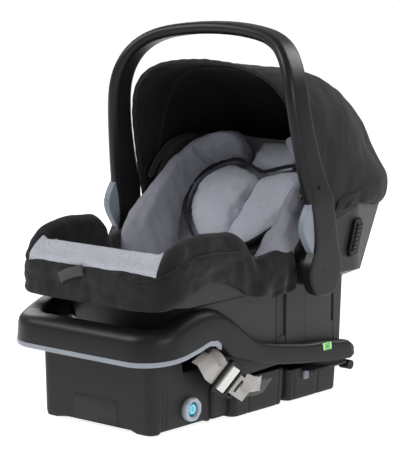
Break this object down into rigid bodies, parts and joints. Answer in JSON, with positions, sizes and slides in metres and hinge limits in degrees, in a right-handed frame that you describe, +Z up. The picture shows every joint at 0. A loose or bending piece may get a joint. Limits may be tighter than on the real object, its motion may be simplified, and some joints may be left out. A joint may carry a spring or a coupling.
{
  "type": "infant car seat",
  "caption": "Rear-facing infant carrier with canopy, carry handle and harness, seated on a vehicle base with recline foot and lower anchor strap.",
  "frame": {"origin": "on the floor, in the underside of the base tub, on the centre plane of the seat", "axes": "+Z up, -Y towards the foot end and the hoop of the base, +Y towards the head end, +X towards the side with the recline button and the lower anchor strap"},
  "size_m": [0.444, 0.6686, 0.6201],
  "materials": {
    "rim_plastic": "satin moulded",
    "tub_plastic": "fine grained",
    "shell_plastic": "fine grained",
    "handle_plastic": "satin moulded",
    "trim_grey": "smooth",
    "button_grey": "smooth",
    "button_blue": "glossy",
    "level_green": "clear",
    "black_plastic": "smooth",
    "steel": "plated",
    "red_plastic": "smooth",
    "grip_rubber": "matt",
    "black_fabric": "woven polyester",
    "slate_fabric": "satin weave",
    "light_fabric": "satin weave",
    "heather_fabric": "knitted",
    "black_webbing": "woven webbing",
    "grey_webbing": "woven webbing",
    "foam": "expanded bead"
  },
  "bodies": {
    "base": {"base_rim": "rim_plastic", "rim_trim": "trim_grey", "base_tub": "tub_plastic", "recline_collar": "trim_grey", "recline_spring": "steel", "level_window": "level_green", "base_feet": "grip_rubber", "rail_bumpers": "rim_plastic", "catch_bars": "steel", "base_screws": "steel", "latch_webbing": "grey_webbing", "latch_frame": "black_plastic", "latch_tail": "grey_webbing", "latch_rear_strap": "black_webbing"},
    "recline_foot": {"recline_foot": "tub_plastic"},
    "recline_button": {"recline_button": "button_blue"},
    "side_button": {"side_button": "button_grey"},
    "latch_bar": {"latch_bar": "steel"},
    "release_lever": {"release_lever": "rim_plastic"},
    "buckle_button": {"buckle_button": "red_plastic"},
    "adjuster_lever": {"adjuster_lever": "black_plastic"},
    "canopy": {"canopy_front_bow": "black_plastic", "canopy_front": "black_fabric"},
    "canopy_mid": {"canopy_mid_bow": "black_plastic"},
    "handle": {"handle": "handle_plastic", "handle_screws": "steel", "handle_spring_left": "steel", "handle_spring_right": "steel"},
    "handle_button_left": {"handle_button_left": "button_grey"},
    "handle_button_right": {"handle_button_right": "button_grey"},
    "carrier": {"adjuster_strap": "black_webbing", "belt_guides": "rim_plastic", "body_insert_left": "light_fabric", "body_insert_right": "light_fabric", "buckle": "black_plastic", "buckle_tongue_left": "steel", "buckle_tongue_right": "steel", "canopy_mounts": "shell_plastic", "canopy_rear": "black_fabric", "canopy_skirt": "black_fabric", "carrier_shell": "shell_plastic", "crotch_strap": "black_webbing", "foot_panel": "heather_fabric", "handle_bosses": "handle_plastic", "head_panel": "light_fabric", "hip_strap_left": "black_webbing", "hip_strap_right": "black_webbing", "pivot_bolts": "steel", "seat_cover": "black_fabric", "seat_foam": "foam", "seat_liner": "black_fabric", "shoulder_strap_left": "black_webbing", "shoulder_strap_right": "black_webbing", "side_bolster_left": "slate_fabric", "side_bolster_right": "slate_fabric", "wing_pads": "black_fabric"}
  },
  "joints": [
    {"name": "recline_foot_slide", "type": "slide", "parent": "base", "child": "recline_foot", "axis": [0, 0, -1], "range_m": [0, 0.035]},
    {"name": "recline_button_press", "type": "slide", "parent": "base", "child": "recline_button", "axis": [-1, 0, 0], "range_m": [0, 0.005], "stiffness_N_per_m": 400, "deforming": ["recline_spring"]},
    {"name": "side_button_press", "type": "slide", "parent": "base", "child": "side_button", "axis": [-1, 0, 0], "range_m": [0, 0.003], "stiffness_N_per_m": 400},
    {"name": "latch_bar_tilt", "type": "hinge", "parent": "base", "child": "latch_bar", "pos_m": [0.16076, -0.06448, 0.07665], "axis": [0.3991, 0.4765, 0.7834], "range_deg": [-20, 0]},
    {"name": "carrier_lift", "type": "slide", "parent": "base", "child": "carrier", "axis": [0, 0, 1], "range_m": [0, 0.25]},
    {"name": "release_lever_pull", "type": "hinge", "parent": "carrier", "child": "release_lever", "pos_m": [0, 0.266, 0.1695], "axis": [1, 0, 0], "range_deg": [0, 20], "stiffness_Nm_per_rad": 0.6},
    {"name": "handle_turn", "type": "hinge", "parent": "carrier", "child": "handle", "pos_m": [0, 0.109, 0.231], "axis": [1, 0, 0], "range_deg": [-110, 60]},
    {"name": "handle_button_left_press", "type": "slide", "parent": "handle", "child": "handle_button_left", "axis": [0, 1, 0], "range_m": [0, 0.006], "stiffness_N_per_m": 600, "deforming": ["handle_spring_left"]},
    {"name": "handle_button_right_press", "type": "slide", "parent": "handle", "child": "handle_button_right", "axis": [0, 1, 0], "range_m": [0, 0.006], "stiffness_N_per_m": 600, "deforming": ["handle_spring_right"]},
    {"name": "canopy_fold", "type": "hinge", "parent": "carrier", "child": "canopy", "pos_m": [0, 0.125, 0.265], "axis": [1, 0, 0], "range_deg": [-33, 0]},
    {"name": "canopy_mid_fold", "type": "hinge", "parent": "carrier", "child": "canopy_mid", "pos_m": [0, 0.125, 0.265], "axis": [1, 0, 0], "range_deg": [-16.5, 0]},
    {"name": "buckle_press", "type": "slide", "parent": "carrier", "child": "buckle_button", "axis": [0, 0.6947, -0.7193], "range_m": [0, 0.003], "stiffness_N_per_m": 400},
    {"name": "adjuster_press", "type": "hinge", "parent": "carrier", "child": "adjuster_lever", "pos_m": [0, -0.099, 0.238], "axis": [1, 0, 0], "range_deg": [0, 7], "stiffness_Nm_per_rad": 0.2}
  ],
  "couplings": [
    {"joint": "canopy_mid_fold", "follows": "canopy_fold", "ratio": 0.5}
  ]
}
